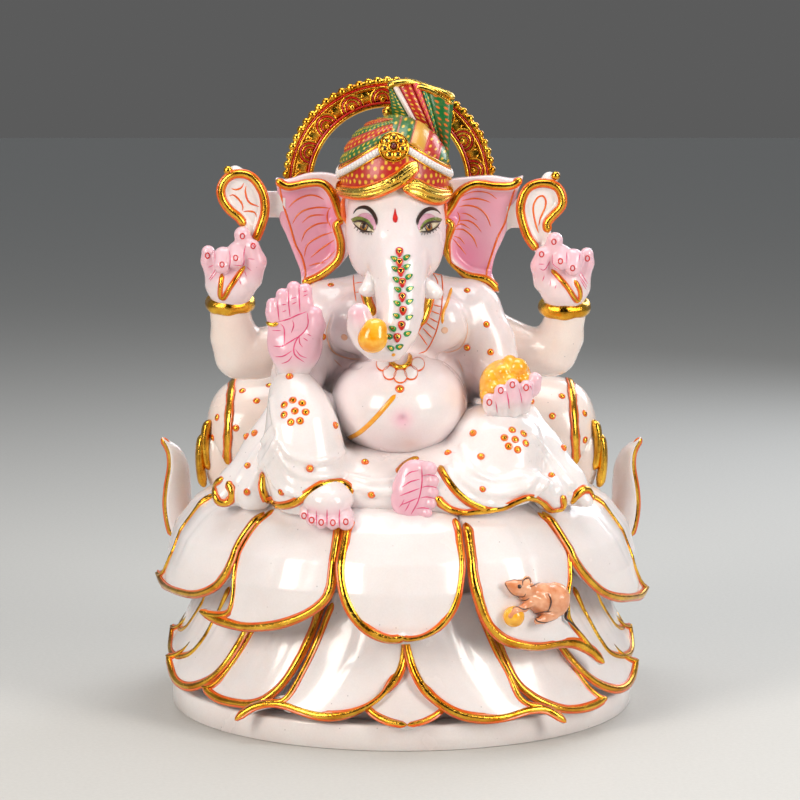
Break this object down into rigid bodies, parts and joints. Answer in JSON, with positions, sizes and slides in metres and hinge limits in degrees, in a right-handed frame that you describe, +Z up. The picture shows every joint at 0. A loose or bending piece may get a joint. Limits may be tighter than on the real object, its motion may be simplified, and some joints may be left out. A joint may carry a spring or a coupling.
{
  "type": "ganesha idol",
  "caption": "Seated elephant-headed idol with four arms on a two-tier lotus over a round plinth, with a halo arch and a bolster behind it, carved in painted white marble.",
  "frame": {"origin": "centre of the round plinth's underside, the flat face it stands on", "axes": "+Z up; the idol faces -Y; +X is the viewer's right when facing the idol"},
  "size_m": [0.3608, 0.3654, 0.457],
  "materials": {
    "marble_base": "polished white marble",
    "marble_petals": "polished white marble with gold-leaf rims",
    "marble_body": "polished white marble, tinted lines",
    "marble_cloth": "polished white marble, carved folds, gold dots",
    "blush_skin": "marble painted pink, glossy",
    "gold_leaf": "burnished gold leaf over marble",
    "emblem_marble": "polished marble with a gold-leaf rim",
    "sweet_yellow": "marble painted yellow, glossy",
    "turban_enamel": "marble painted red, green and gold, glossy",
    "mouse_paint": "marble painted orange-brown, glossy"
  },
  "bodies": {
    "root": {"plinth": "marble_base", "lotus_heart": "marble_base", "lower_middle_petal": "marble_petals", "lower_petal_1": "marble_petals", "lower_petal_2": "marble_petals", "lower_petal_3": "marble_petals", "lower_petal_4": "marble_petals", "lower_petal_5": "marble_petals", "lower_petal_6": "marble_petals", "lower_petal_7": "marble_petals", "lower_petal_8": "marble_petals", "lower_petal_9": "marble_petals", "lower_petal_10": "marble_petals", "lower_petals_rear": "marble_petals", "upper_petal_1": "marble_petals", "upper_petal_2": "marble_petals", "upper_petal_3": "marble_petals", "upper_petal_4": "marble_petals", "upper_petal_5": "marble_petals", "upper_petal_6": "marble_petals", "upper_petal_7": "marble_petals", "upper_petals_rear": "marble_petals", "upright_petal_left": "marble_petals", "upright_petal_right": "marble_petals", "torso": "marble_body", "front_arm_left": "marble_body", "front_arm_right": "marble_body", "rear_arm_left": "marble_body", "rear_arm_right": "marble_body", "head": "marble_body", "trunk": "marble_body", "tusks": "marble_body", "ear_struts": "marble_body", "hip_drape": "marble_cloth", "raised_leg": "marble_cloth", "folded_leg": "marble_cloth", "side_drapes": "marble_cloth", "bolster": "marble_cloth", "raised_leg_foot": "blush_skin", "folded_leg_foot": "blush_skin", "open_palm": "blush_skin", "cupped_hand": "blush_skin", "rear_hand_left": "blush_skin", "rear_hand_right": "blush_skin", "ear_left": "blush_skin", "ear_right": "blush_skin", "garland": "gold_leaf", "bolster_trim": "gold_leaf", "wrist_bangles": "gold_leaf", "turban_brim": "gold_leaf", "turban_brooch": "gold_leaf", "halo_arch": "gold_leaf", "emblem_left": "emblem_marble", "emblem_right": "emblem_marble", "sweet_heap": "sweet_yellow", "trunk_sweet": "sweet_yellow", "mouse_sweet": "sweet_yellow", "turban_wrap": "turban_enamel", "turban_crest": "turban_enamel", "mouse": "mouse_paint"}
  },
  "joints": []
}
